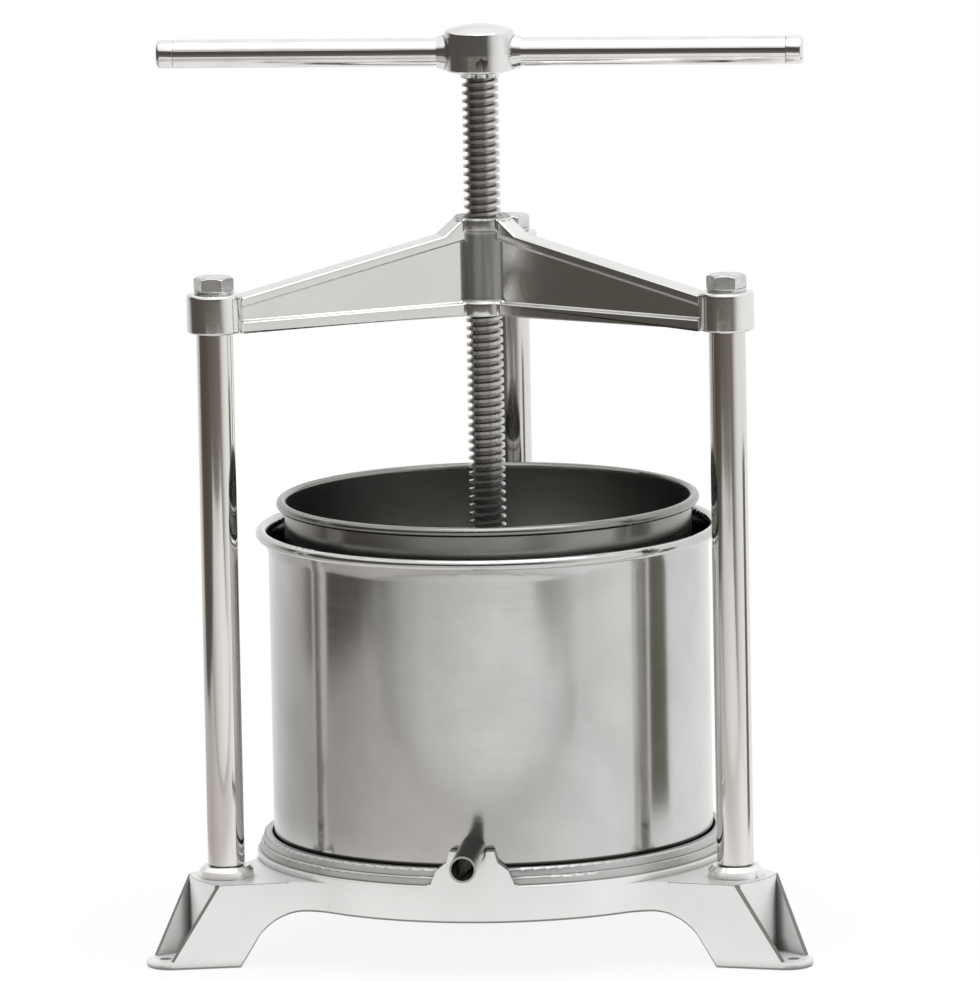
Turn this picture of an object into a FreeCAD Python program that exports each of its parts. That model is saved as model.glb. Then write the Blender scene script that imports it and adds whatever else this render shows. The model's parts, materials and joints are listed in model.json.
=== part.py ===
import FreeCAD, Part
import Sketcher
import math
import os

# Fruit press: a three-legged cast base, three round columns, a cast yoke with a threaded boss,
# a spindle with a T-handle and a press plate, a juice bucket with a spout and an inner basket.
# Frame: origin on the spindle's axis at the level of the feet, +Z up, -Y to the spout side.
# Millimetres and degrees.

V = FreeCAD.Vector

SIZES = {
    # how far a cutting sketch stands clear, how deep it cuts, how far joined forms sink
    "cutter_stand": 10.0,
    "cutter_depth": 30.0,
    "sink": 2.0,
    # columns and their circle
    "column_circle": 143.7,
    "column_radius": 9.0,
    "column_chamfer": 1.0,
    "tapped_depth": 26.0,
    # cast base: round seat
    "ring_radius": 116.5,
    "ring_wall": 5.0,
    "ring_bottom": 24.0,
    "shoulder_height": 45.0,
    "shoulder_step": 1.8,
    "lip_step": 1.6,
    "lip_top": 53.0,
    "lip_round": 1.2,
    "seat_floor": 50.0,
    "seat_plate": 5.0,
    "seat_gap": 1.0,
    "rib_depth": 11.0,
    "rib_width": 6.0,
    "rib_boss": 16.0,
    # cast base: legs
    "leg_top": 41.5,
    "leg_root": 109.0,
    "leg_root_half": 33.0,
    "leg_end": 155.6,
    "leg_end_half": 19.0,
    "leg_end_bow": 53.0,
    "leg_blend": 25.0,
    "leg_wall": 5.0,
    "leg_roof": 6.0,
    "arch_foot": 146.0,
    "arch_slope": 53.5,
    "arch_radius": 28.0,
    "toe_lap": 8.0,
    "toe_circle": 173.5,
    "toe_radius": 12.5,
    "toe_thickness": 4.0,
    "toe_hole_circle": 177.0,
    "toe_hole_radius": 3.0,
    "web_thickness": 3.0,
    "boss_radius": 13.3,
    "boss_top": 47.5,
    "boss_cone": 2.0,
    "post_step": 1.5,
    "post_bottom": 15.0,
    "wrench_relief": 11.2,
    # spout cradle on the ring
    "cradle_half_angle": 11.0,
    "cradle_foot_rise": 0.5,
    "cradle_foot_half": 20.5,
    "cradle_knee_half": 17.5,
    "cradle_knee_height": 52.5,
    "cradle_neck_half": 12.5,
    "cradle_neck_height": 56.5,
    "cradle_top_half": 10.2,
    # yoke
    "yoke_bottom": 310.0,
    "yoke_hub_radius": 13.0,
    "yoke_foot_radius": 14.6,
    "yoke_foot_slope": 1.5,
    "yoke_collar_radius": 14.0,
    "yoke_collar_height": 6.0,
    "yoke_collar_slope": 1.0,
    "yoke_top": 356.4,
    "yoke_chamfer": 0.8,
    "arm_drop": 6.0,
    "arm_below_top": 1.2,
    "arm_end_rise": 16.6,
    "arm_ramp": 9.0,
    "arm_web": 6.0,
    "arm_top_width": 12.0,
    "arm_top_thickness": 4.9,
    "arm_foot_width": 13.0,
    "arm_foot_thickness": 4.7,
    "arm_foot_dip": 1.8,
    "column_boss_radius": 13.4,
    "column_boss_height": 19.0,
    "column_boss_chamfer": 1.2,
    # column bolts, M10
    "bolt_radius": 5.0,
    "bolt_hole_radius": 5.3,
    "bolt_across_flats": 17.0,
    "bolt_head": 6.4,
    "bolt_face_radius": 8.3,
    "bolt_grip": 20.0,
    "washer_radius": 9.6,
    "washer_thickness": 1.6,
    # spindle, trapezoidal thread 18 x 4
    "screw_radius": 9.0,
    "screw_clearance": 0.06,
    "screw_chamfer": 1.4,
    "stub_radius": 7.0,
    "stub_length": 18.0,
    "neck_radius": 5.0,
    "neck_length": 6.0,
    "button_radius": 8.0,
    "button_height": 7.0,
    "button_chamfer": 0.5,
    "swivel_clearance": 0.08,
    # T-handle
    "handle_height": 436.7,
    "hub_below": 11.8,
    "hub_radius": 17.6,
    "hub_collar_radius": 9.6,
    "hub_collar_height": 1.6,
    "hub_cone": 3.6,
    "hub_above": 11.2,
    "hub_crown": 2.6,
    "hub_round": 1.8,
    "hub_draft": 0.5,
    "hub_socket_gap": 0.1,
    "handle_radius": 7.0,
    "handle_reach": 158.4,
    "handle_cheek": 20.7,
    "handle_cheek_radius": 7.7,
    "handle_cheek_flare": 6.0,
    "spigot_radius": 5.0,
    "spigot_gap": 0.1,
    "spigot_chamfer": 0.8,
    "tip_length": 8.5,
    "tip_round": 2.2,
    "tip_groove": 0.5,
    "tip_spigot_radius": 3.5,
    "tip_spigot_length": 9.0,
    "tip_spigot_gap": 0.5,
    "set_screw_radius": 3.0,
    "set_screw_drop": 4.1,
    "set_screw_angle": 10.0,
    "set_screw_proud": 0.4,
    "set_screw_sunk": 2.0,
    "set_screw_step": 0.8,
    "set_screw_gap": 0.1,
    # press plate and swivel
    "plate_bottom": 143.0,
    "plate_radius": 94.5,
    "plate_disc": 5.0,
    "plate_chamfer": 1.0,
    "plate_hub_radius": 24.0,
    "plate_hub_height": 8.0,
    "plate_rim_width": 4.0,
    "plate_rim_height": 11.0,
    "plate_rib_width": 5.0,
    "plate_rib_height": 8.0,
    "socket_radius": 20.0,
    "keeper_thickness": 4.5,
    "keeper_split": 0.6,
    "plate_screw_circle": 14.6,
    "plate_screw_radius": 2.0,
    "plate_screw_head_radius": 3.4,
    "plate_screw_head": 2.6,
    "plate_screw_depth": 6.0,
    "plate_screw_end": 0.5,
    "plate_screw_key": 1.7,
    "plate_screw_gap": 0.2,
    # juice bucket
    "bucket_radius": 108.0,
    "bucket_wall": 1.0,
    "bucket_rim_radius": 114.1,
    "bucket_rim_top": 204.2,
    "bucket_bead": 2.7,
    "bucket_flare": 7.0,
    "spout_height": 62.0,
    "spout_radius": 6.5,
    "spout_bore": 5.5,
    "spout_reach": 162.0,
    "spout_gap": 0.4,
    "punch_draft": 4.0,
    # basket
    "basket_radius": 99.8,
    "basket_wall": 1.0,
    "basket_rim_radius": 103.7,
    "basket_rim_top": 218.3,
    "basket_bead": 2.4,
    "basket_flare": 6.0,
    "basket_floor_lift": 7.0,
    "basket_floor_thickness": 1.5,
    "basket_foot_gap": 0.2,
    "drain_width": 26.0,
    "drain_height": 4.0,
}

LEG_COUNT = 3
PLATE_RIBS = 6
PLATE_SCREWS = 4
BOLT_ANGLES = (0, 120, 240)

doc = FreeCAD.newDocument("fruit_press")
sheet = doc.addObject("Spreadsheet::Sheet", "Sizes")
for row, (alias, value) in enumerate(SIZES.items(), start=1):
    sheet.set("A%d" % row, alias)
    sheet.set("B%d" % row, str(value))
    sheet.setAlias("B%d" % row, alias)
doc.recompute()


def cells(formula):
    """Prefix every alias in a formula with the sheet's name."""
    words = []
    word = ""
    for letter in formula + " ":
        if letter.isalnum() or letter == "_":
            word += letter
        else:
            words.append("Sizes." + word if word in SIZES else word)
            words.append(letter)
            word = ""
    return "".join(words).strip()


def number(formula):
    """The present value of a formula over the sheet's aliases."""
    result = sheet.evalExpression(cells(formula))
    return float(getattr(result, "Value", result))


def bind(thing, prop, formula):
    thing.setExpression(prop, cells(formula))


def new_body(label):
    body = doc.addObject("PartDesign::Body", label)
    body.Label = label
    return body


def origin_feature(body, role):
    for feature in body.Origin.OriginFeatures:
        if feature.Role == role:
            return feature


def new_sketch(body, role, name, lift="0"):
    """A sketch on one of the body's origin planes, lifted along the plane's normal."""
    sketch = body.newObject("Sketcher::SketchObject", name)
    sketch.AttachmentSupport = (origin_feature(body, role), [""])
    sketch.MapMode = "FlatFace"
    if lift != "0":
        bind(sketch, "AttachmentOffset.Base.z", lift)
    return sketch


def pin_point(sketch, geometry, end, x, y):
    """Hold one end of a curve at two formulas."""
    for axis, formula in (("DistanceX", x), ("DistanceY", y)):
        value = number(formula)
        index = sketch.addConstraint(Sketcher.Constraint(axis, -1, 1, geometry, end, value))
        sketch.setExpression("Constraints[%d]" % index, cells(formula))


def outline(sketch, corners):
    """A closed outline. A corner is (x, y), or (x, y, radius, turn) where the run that starts
    there is an arc that bulges to the left (turn 1) or right (turn -1) of its direction."""
    places = [V(number(corner[0]), number(corner[1]), 0) for corner in corners]
    ends = []
    for index, corner in enumerate(corners):
        start = places[index]
        finish = places[(index + 1) % len(places)]
        if len(corner) == 2:
            geometry = sketch.addGeometry(Part.LineSegment(start, finish), False)
            ends.append((geometry, 1, 2))
            continue
        radius = number(corner[2])
        chord = finish - start
        middle = (start + finish) * 0.5
        side = V(-chord.y, chord.x, 0).normalize() * corner[3]
        rise = math.sqrt(max(radius ** 2 - (chord.Length / 2) ** 2, 0.0))
        centre = middle - side * rise
        circle = Part.Circle(centre, V(0, 0, 1), radius)
        if corner[3] > 0:
            first, last = finish, start
        else:
            first, last = start, finish
        angles = [math.atan2(point.y - centre.y, point.x - centre.x) for point in (first, last)]
        geometry = sketch.addGeometry(Part.ArcOfCircle(circle, angles[0], angles[1]), False)
        index_radius = sketch.addConstraint(Sketcher.Constraint("Radius", geometry, radius))
        sketch.setExpression("Constraints[%d]" % index_radius, cells(corner[2]))
        ends.append((geometry, 2, 1) if corner[3] > 0 else (geometry, 1, 2))
    for index, (geometry, start_end, finish_end) in enumerate(ends):
        following = ends[(index + 1) % len(ends)]
        sketch.addConstraint(Sketcher.Constraint("Coincident", geometry, finish_end,
                                                 following[0], following[1]))
        pin_point(sketch, geometry, start_end, corners[index][0], corners[index][1])
    return sketch


def ring_hole(sketch, x, y, radius):
    """A circle with its centre and radius bound to formulas."""
    centre = V(number(x), number(y), 0)
    geometry = sketch.addGeometry(Part.Circle(centre, V(0, 0, 1), number(radius)), False)
    pin_point(sketch, geometry, 3, x, y)
    index = sketch.addConstraint(Sketcher.Constraint("Radius", geometry, number(radius)))
    sketch.setExpression("Constraints[%d]" % index, cells(radius))
    return sketch


def pad(body, sketch, length, midplane=False, taper=None, name="Pad"):
    feature = body.newObject("PartDesign::Pad", name)
    feature.Profile = sketch
    feature.Midplane = midplane
    bind(feature, "Length", length)
    if taper is not None:
        feature.TaperAngle = taper
    body.Tip = feature
    return feature


def pocket(body, sketch, length, midplane=False, outward=False, taper=None, name="Pocket"):
    """Cut a sketch away, against its normal, or along it when outward is true."""
    feature = body.newObject("PartDesign::Pocket", name)
    feature.Profile = sketch
    feature.Midplane = midplane
    feature.Reversed = outward
    bind(feature, "Length", length)
    if taper is not None:
        feature.TaperAngle = taper
    body.Tip = feature
    return feature


def revolve(body, sketch, role="Z_Axis", angle=None, name="Turned"):
    feature = body.newObject("PartDesign::Revolution", name)
    feature.Profile = sketch
    feature.ReferenceAxis = (origin_feature(body, role), [""])
    if angle is None:
        feature.Angle = 360
    else:
        feature.Midplane = True
        bind(feature, "Angle", angle)
    body.Tip = feature
    return feature


def around(body, features, count, name="Around"):
    pattern = body.newObject("PartDesign::PolarPattern", name)
    pattern.Originals = features
    pattern.Axis = (origin_feature(body, "Z_Axis"), [""])
    pattern.Angle = 360
    pattern.Occurrences = count
    body.Tip = pattern
    return pattern


# Leg outline: half the width at a distance from the axis, along the straight side.
LEG_TAPER = "(leg_root_half - leg_end_half) / (leg_end - leg_root)"


def leg_half(distance):
    return "(leg_root_half - " + LEG_TAPER + " * (" + distance + " - leg_root))"


# The leg's straight side runs into the seat's wall by an arc that touches both. Its centre lies
# one blend radius from the side's line and from the wall.
LEG_LEAN = "atan(" + LEG_TAPER + ")"
BLEND_OFFSET = "(leg_root_half + " + LEG_TAPER + " * leg_root + leg_blend / cos(" + LEG_LEAN + "))"
BLEND_REACH = "(ring_radius + leg_blend)"
BLEND_Y = ("((" + BLEND_OFFSET + " * sin(" + LEG_LEAN + ") * cos(" + LEG_LEAN + ") + sqrt("
           + BLEND_REACH + " ^ 2 - (" + BLEND_OFFSET + " * cos(" + LEG_LEAN + ")) ^ 2) * cos("
           + LEG_LEAN + ")))")
BLEND_X = "(" + BLEND_OFFSET + " - " + LEG_TAPER + " * " + BLEND_Y + ")"


# The toe's round end meets its straight sides where their normals agree.
TOE_FLARE = "atan((leg_end_half - toe_radius) / (toe_circle - leg_end))"
TOE_TANGENT_HALF = "toe_radius * cos(" + TOE_FLARE + ")"
TOE_TANGENT = "toe_circle + toe_radius * sin(" + TOE_FLARE + ")"


def base_casting():
    body = new_body("base_casting")
    # cradle for the spout, with flanks that fall away to the ring
    block = new_sketch(body, "YZ_Plane", "cradle_block")
    outline(block, [("-ring_radius", "shoulder_height - sink"),
                    ("-bucket_radius - seat_gap", "shoulder_height - sink"),
                    ("-bucket_radius - seat_gap", "spout_height"),
                    ("-ring_radius", "spout_height")])
    revolve(body, block, angle="2 * cradle_half_angle", name="cradle")
    flanks = []
    for side, sign in (("left", "-"), ("right", "")):
        flank = new_sketch(body, "XZ_Plane", "cradle_flank_" + side, "ring_radius + cutter_stand")
        reach = "(ring_radius * tan(cradle_half_angle) + cutter_stand)"
        corners = [("cradle_foot_half", "shoulder_height + cradle_foot_rise"),
                   ("cradle_knee_half", "cradle_knee_height"),
                   ("cradle_neck_half", "cradle_neck_height"),
                   ("cradle_top_half", "spout_height + sink"),
                   (reach, "spout_height + sink"),
                   (reach, "shoulder_height + cradle_foot_rise")]
        outline(flank, [(sign + "(" + x + ")", y) for x, y in corners])
        flanks.append(pocket(body, flank, "cutter_depth", name="cradle_fall_" + side))
    # round seat: wall, two steps up to the lip, and the plate that the bucket stands on
    seat = new_sketch(body, "XZ_Plane", "seat_profile")
    shoulder = "ring_radius - shoulder_step"
    lip = "ring_radius - shoulder_step - lip_step"
    outline(seat, [("0", "seat_floor - seat_plate"),
                   ("ring_radius - ring_wall", "seat_floor - seat_plate"),
                   ("ring_radius - ring_wall", "ring_bottom"),
                   ("ring_radius", "ring_bottom"),
                   ("ring_radius", "shoulder_height - lip_round", "lip_round", -1),
                   ("ring_radius - lip_round", "shoulder_height"),
                   (shoulder, "shoulder_height"),
                   (shoulder, "(shoulder_height + lip_top) / 2 - lip_round", "lip_round", -1),
                   (shoulder + " - lip_round", "(shoulder_height + lip_top) / 2"),
                   (lip, "(shoulder_height + lip_top) / 2"),
                   (lip, "lip_top - lip_round", "lip_round", -1),
                   (lip + " - lip_round", "lip_top"),
                   ("bucket_radius + seat_gap", "lip_top"),
                   ("bucket_radius + seat_gap", "seat_floor"),
                   ("0", "seat_floor")])
    revolve(body, seat, name="seat")
    # notch that holds the spout
    notch = new_sketch(body, "XZ_Plane", "spout_notch_circle", "ring_radius + cutter_stand")
    ring_hole(notch, "0", "spout_height", "spout_radius + spout_gap")
    pocket(body, notch, "cutter_depth", name="spout_notch")
    # stiffening ribs and centre boss below the plate
    rib = new_sketch(body, "XY_Plane", "rib_outline", "seat_floor - seat_plate - rib_depth")
    outline(rib, [("-rib_width / 2", "0"), ("rib_width / 2", "0"),
                  ("rib_width / 2", "ring_radius - ring_wall / 2"),
                  ("-rib_width / 2", "ring_radius - ring_wall / 2")])
    rib_pad = pad(body, rib, "rib_depth + seat_plate / 2", name="rib")
    # rear leg: toe slab with its two side webs, then the block with its bowed end wall
    toe = new_sketch(body, "XY_Plane", "toe_outline")
    outline(toe, [("-(leg_end_half - sink)", "leg_end - toe_lap"), ("leg_end_half - sink", "leg_end - toe_lap"),
                  ("leg_end_half", "leg_end"), (TOE_TANGENT_HALF, TOE_TANGENT, "toe_radius", -1),
                  ("-(" + TOE_TANGENT_HALF + ")", TOE_TANGENT), ("-leg_end_half", "leg_end")])
    toe_pad = pad(body, toe, "leg_top", name="toe")
    slope = new_sketch(body, "YZ_Plane", "web_slope")
    outline(slope, [("leg_end", "leg_top"), (TOE_TANGENT, "toe_thickness"),
                    ("toe_circle + toe_radius + cutter_stand", "toe_thickness"),
                    ("toe_circle + toe_radius + cutter_stand", "leg_top + cutter_stand"),
                    ("leg_end", "leg_top + cutter_stand")])
    slope_cut = pocket(body, slope, "4 * leg_end_half", midplane=True, name="web_slope_cut")
    inner = new_sketch(body, "XY_Plane", "toe_recess", "toe_thickness")
    outline(inner, [("-(leg_end_half - web_thickness - sink)", "leg_end - toe_lap + sink / 2"),
                    ("leg_end_half - web_thickness - sink", "leg_end - toe_lap + sink / 2"),
                    ("leg_end_half - web_thickness", "leg_end"),
                    (TOE_TANGENT_HALF + " - web_thickness", TOE_TANGENT),
                    (TOE_TANGENT_HALF + " - web_thickness", "toe_circle + toe_radius + sink / 2"),
                    ("-(" + TOE_TANGENT_HALF + " - web_thickness)", "toe_circle + toe_radius + sink / 2"),
                    ("-(" + TOE_TANGENT_HALF + " - web_thickness)", TOE_TANGENT),
                    ("-(leg_end_half - web_thickness)", "leg_end")])
    recess_cut = pocket(body, inner, "leg_top", outward=True, name="toe_recess_cut")
    block = new_sketch(body, "XY_Plane", "leg_outline")
    side_end = (BLEND_X + " - leg_blend * cos(" + LEG_LEAN + ")",
                BLEND_Y + " - leg_blend * sin(" + LEG_LEAN + ")")
    wall_start = (BLEND_X + " * ring_radius / " + BLEND_REACH,
                  BLEND_Y + " * ring_radius / " + BLEND_REACH)
    inside = "(ring_radius - ring_wall / 2)"
    inner = (BLEND_X + " * " + inside + " / " + BLEND_REACH,
             BLEND_Y + " * " + inside + " / " + BLEND_REACH)
    outline(block, [("-(" + inner[0] + ")", inner[1], inside, 1),
                    inner, wall_start + ("leg_blend", -1), side_end,
                    ("leg_end_half", "leg_end", "leg_end_bow", -1),
                    ("-leg_end_half", "leg_end"), ("-(" + side_end[0] + ")", side_end[1],
                                                   "leg_blend", -1),
                    ("-(" + wall_start[0] + ")", wall_start[1])])
    leg_pad = pad(body, block, "leg_top", name="leg")
    # arch between the ring's edge and the foot
    arch = new_sketch(body, "YZ_Plane", "arch_profile")
    line_top = "(arch_foot - ring_bottom / tan(arch_slope))"
    tangent = "(arch_radius * tan(arch_slope / 2))"
    outline(arch, [("leg_root - cutter_stand", "-sink"), ("arch_foot + sink / tan(arch_slope)", "-sink"),
                   (line_top + " + " + tangent + " * cos(arch_slope)",
                    "ring_bottom - " + tangent + " * sin(arch_slope)", "arch_radius", -1),
                   (line_top + " - " + tangent, "ring_bottom"),
                   ("leg_root - cutter_stand", "ring_bottom")])
    arch_cut = pocket(body, arch, "4 * leg_root_half", midplane=True, name="arch")
    # hollow underside of the leg
    wall_side = "leg_wall / cos(atan(" + LEG_TAPER + "))"
    hollow = new_sketch(body, "XY_Plane", "leg_hollow")
    near = "ring_radius + sink / 2"
    far = "leg_end - leg_wall + sink / 2"
    outline(hollow, [("-(" + leg_half(near) + " - " + wall_side + ")", near),
                     (leg_half(near) + " - " + wall_side, near),
                     (leg_half(far) + " - " + wall_side, far),
                     ("-(" + leg_half(far) + " - " + wall_side + ")", far)])
    hollow_cut = pocket(body, hollow, "leg_top - leg_roof", outward=True, name="hollow")
    # column post below the roof and column boss above it
    post = new_sketch(body, "XY_Plane", "post_circle", "post_bottom")
    ring_hole(post, "0", "column_circle", "boss_radius - post_step")
    post_pad = pad(body, post, "leg_top - post_bottom", name="post")
    boss = new_sketch(body, "XY_Plane", "boss_circle", "leg_top - sink / 2")
    ring_hole(boss, "0", "column_circle", "boss_radius")
    boss_pad = pad(body, boss, "boss_top - leg_top + sink / 2 - boss_cone", name="boss")
    cone = new_sketch(body, "XY_Plane", "boss_cone_circle", "boss_top - boss_cone")
    ring_hole(cone, "0", "column_circle", "boss_radius")
    cone_pad = pad(body, cone, "boss_cone", taper=-45, name="boss_cone")
    relief = new_sketch(body, "XY_Plane", "wrench_relief_circle", "-sink")
    ring_hole(relief, "0", "column_circle", "wrench_relief")
    relief_cut = pocket(body, relief, "post_bottom + sink", outward=True, name="wrench_relief_cut")
    bolt = new_sketch(body, "XY_Plane", "bolt_circle", "post_bottom - sink")
    ring_hole(bolt, "0", "column_circle", "bolt_hole_radius")
    bolt_cut = pocket(body, bolt, "boss_top - post_bottom + 2 * sink", outward=True, name="bolt_hole")
    hole = new_sketch(body, "XY_Plane", "toe_hole_circle", "-sink")
    ring_hole(hole, "0", "toe_hole_circle", "toe_hole_radius")
    hole_cut = pocket(body, hole, "toe_thickness + 2 * sink", outward=True, name="toe_hole")
    around(body, [rib_pad, toe_pad, slope_cut, recess_cut, leg_pad, arch_cut, hollow_cut,
                  post_pad, boss_pad, cone_pad, relief_cut, bolt_cut, hole_cut], LEG_COUNT,
           name="legs")
    centre = new_sketch(body, "XY_Plane", "rib_boss_circle", "seat_floor - seat_plate - rib_depth")
    ring_hole(centre, "0", "0", "rib_boss")
    pad(body, centre, "rib_depth + seat_plate / 2", name="rib_centre")
    return body


def column(label, turn):
    body = new_body(label)
    profile = new_sketch(body, "XZ_Plane", label + "_profile")
    low = "boss_top"
    high = "yoke_bottom"
    outline(profile, [("0", low + " + tapped_depth"), ("bolt_radius", low + " + tapped_depth"),
                      ("bolt_radius", low), ("column_radius - column_chamfer", low),
                      ("column_radius", low + " + column_chamfer"),
                      ("column_radius", high + " - column_chamfer"),
                      ("column_radius - column_chamfer", high), ("bolt_radius", high),
                      ("bolt_radius", high + " - tapped_depth"),
                      ("0", high + " - tapped_depth")])
    revolve(body, profile, name=label + "_turned")
    bind(body, "Placement.Base.x", "-column_circle * sin(%d)" % turn)
    bind(body, "Placement.Base.y", "column_circle * cos(%d)" % turn)
    return body


# Height of the arm's sloping top at a distance from the axis.
ARM_FALL = "(yoke_top - arm_drop - yoke_bottom - arm_end_rise)"
ARM_SLOPE = "(" + ARM_FALL + " / (column_circle - column_boss_radius - yoke_hub_radius))"

# The arms' underside falls from the columns to the hub.
ARM_FOOT = "(yoke_bottom - arm_foot_dip)"


def arm_top(distance):
    return "(yoke_top - arm_drop - " + ARM_SLOPE + " * (" + distance + " - yoke_hub_radius))"


def yoke():
    body = new_body("yoke")
    hub = new_sketch(body, "XZ_Plane", "hub_profile")
    collar = "(yoke_top - yoke_collar_height)"
    outline(hub, [("0", ARM_FOOT), ("yoke_foot_radius", ARM_FOOT),
                  ("yoke_foot_radius", "yoke_bottom + arm_foot_thickness"),
                  ("yoke_hub_radius", "yoke_bottom + arm_foot_thickness + yoke_foot_slope"),
                  ("yoke_hub_radius", collar + " - yoke_collar_slope"), ("yoke_collar_radius", collar),
                  ("yoke_collar_radius", "yoke_top - yoke_chamfer"),
                  ("yoke_collar_radius - yoke_chamfer", "yoke_top"), ("0", "yoke_top")])
    revolve(body, hub, name="hub_turned")
    inside = "yoke_hub_radius / 2"
    reach = "column_circle - column_boss_radius / 2"
    web = new_sketch(body, "YZ_Plane", "web_profile")
    outline(web, [(inside, "yoke_bottom + sink / 2"), (reach, "yoke_bottom + sink / 2"),
                  (reach, arm_top(reach) + " - sink / 2"),
                  (inside, arm_top(inside) + " - sink / 2")])
    web_pad = pad(body, web, "arm_web", midplane=True, name="web")
    top = new_sketch(body, "YZ_Plane", "top_flange_profile")
    outline(top, [(inside, arm_top(inside) + " - arm_top_thickness"),
                  (reach, arm_top(reach) + " - arm_top_thickness"), (reach, arm_top(reach)),
                  ("yoke_collar_radius + arm_ramp", arm_top("(yoke_collar_radius + arm_ramp)")),
                  ("yoke_collar_radius", "yoke_top - arm_below_top"),
                  (inside, "yoke_top - arm_below_top")])
    top_pad = pad(body, top, "arm_top_width", midplane=True, name="top_flange")
    foot = new_sketch(body, "YZ_Plane", "foot_flange_profile")
    outline(foot, [(inside, ARM_FOOT), ("yoke_foot_radius", ARM_FOOT), (reach, "yoke_bottom"),
                   (reach, "yoke_bottom + arm_foot_thickness"),
                   (inside, "yoke_bottom + arm_foot_thickness")])
    foot_pad = pad(body, foot, "arm_foot_width", midplane=True, name="foot_flange")
    boss = new_sketch(body, "XY_Plane", "column_boss_circle", "yoke_bottom")
    ring_hole(boss, "0", "column_circle", "column_boss_radius")
    boss_pad = pad(body, boss, "column_boss_height - column_boss_chamfer", name="column_boss")
    rim = new_sketch(body, "XY_Plane", "column_boss_rim_circle",
                     "yoke_bottom + column_boss_height - column_boss_chamfer")
    ring_hole(rim, "0", "column_circle", "column_boss_radius")
    rim_pad = pad(body, rim, "column_boss_chamfer", taper=-45, name="column_boss_rim")
    hole = new_sketch(body, "XY_Plane", "column_hole_circle", "yoke_bottom - sink")
    ring_hole(hole, "0", "column_circle", "bolt_hole_radius")
    hole_cut = pocket(body, hole, "column_boss_height + 2 * sink", outward=True, name="column_hole")
    around(body, [web_pad, top_pad, foot_pad, boss_pad, rim_pad, hole_cut], LEG_COUNT, name="arms")
    bore = new_sketch(body, "XY_Plane", "screw_bore_circle", ARM_FOOT + " - sink")
    ring_hole(bore, "0", "0", "screw_radius + screw_clearance")
    pocket(body, bore, "yoke_top - " + ARM_FOOT + " + 2 * sink", outward=True, name="screw_bore")
    return body


def placed(thing, x="0", y="0", z="0"):
    for axis, formula in (("x", x), ("y", y), ("z", z)):
        if formula != "0":
            bind(thing, "Placement.Base." + axis, formula)
    return thing


def cylinder(name, radius, height, x="0", y="0", z="0"):
    thing = doc.addObject("Part::Cylinder", name)
    bind(thing, "Radius", radius)
    bind(thing, "Height", height)
    return placed(thing, x, y, z)


def cut(name, base, tool):
    thing = doc.addObject("Part::Cut", name)
    thing.Base = base
    thing.Tool = tool
    return thing


def group(label, members):
    thing = doc.addObject("Part::Compound", label)
    thing.Label = label
    thing.Links = members
    return thing


def column_place(turn):
    return "-column_circle * sin(%d)" % turn, "column_circle * cos(%d)" % turn


def bolts(label, seat, upward, length):
    """Three hex bolts. The head's bearing face is at seat, and the shank runs upward or down."""
    members = []
    for turn in BOLT_ANGLES:
        x, y = column_place(turn)
        stem = "%s_%d" % (label, turn)
        head_z = seat + " - bolt_head" if upward else seat
        shank_z = seat if upward else "%s - (%s)" % (seat, length)
        blank = doc.addObject("Part::Prism", stem + "_hex")
        blank.Polygon = 6
        bind(blank, "Circumradius", "bolt_across_flats / 2 / cos(30)")
        bind(blank, "Height", "bolt_head")
        placed(blank, x, y, head_z)
        cone = doc.addObject("Part::Cone", stem + "_cone")
        wide = "bolt_face_radius + bolt_head / tan(30)"
        narrow = "bolt_face_radius"
        bind(cone, "Radius1", narrow if upward else wide)
        bind(cone, "Radius2", wide if upward else narrow)
        bind(cone, "Height", "bolt_head")
        placed(cone, x, y, head_z)
        head = doc.addObject("Part::MultiCommon", stem + "_head")
        head.Shapes = [blank, cone]
        shank = cylinder(stem + "_shank", "bolt_radius", length, x, y, shank_z)
        bolt = doc.addObject("Part::Fuse", stem)
        bolt.Base = head
        bolt.Tool = shank
        members.append(bolt)
    return group(label, members)


def washers(label, low):
    members = []
    for turn in BOLT_ANGLES:
        x, y = column_place(turn)
        stem = "%s_%d" % (label, turn)
        disc = cylinder(stem + "_disc", "washer_radius", "washer_thickness", x, y, low)
        hole = cylinder(stem + "_hole", "bolt_hole_radius", "washer_thickness", x, y, low)
        members.append(cut(stem, disc, hole))
    return group(label, members)


# Levels of the handle's hub, worked out from the bar's height.
HUB_BOTTOM = "(handle_height - hub_below)"
HUB_CONE_TOP = "(" + HUB_BOTTOM + " + hub_cone)"
HUB_SHOULDER = "(handle_height + hub_above)"
HUB_CROWN = "(" + HUB_SHOULDER + " + hub_crown)"

# Levels of the swivel, from the press plate up to the start of the thread.
PLATE_TOP = "(plate_bottom + plate_hub_height)"
SOCKET_TOP = "(" + PLATE_TOP + " + button_height + 2 * swivel_clearance)"
KEEPER_TOP = "(" + SOCKET_TOP + " + keeper_thickness)"
NECK_TOP = "(" + PLATE_TOP + " + swivel_clearance + button_height + neck_length)"


# The swivel's screws stand midway between the joints of its split collar.
SCREW_TURNS = [360 / PLATE_SCREWS * (index + 0.5) for index in range(PLATE_SCREWS)]
FIRST_SCREW_X = "plate_screw_circle * cos(%g)" % SCREW_TURNS[0]
FIRST_SCREW_Y = "plate_screw_circle * sin(%g)" % SCREW_TURNS[0]


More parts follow.
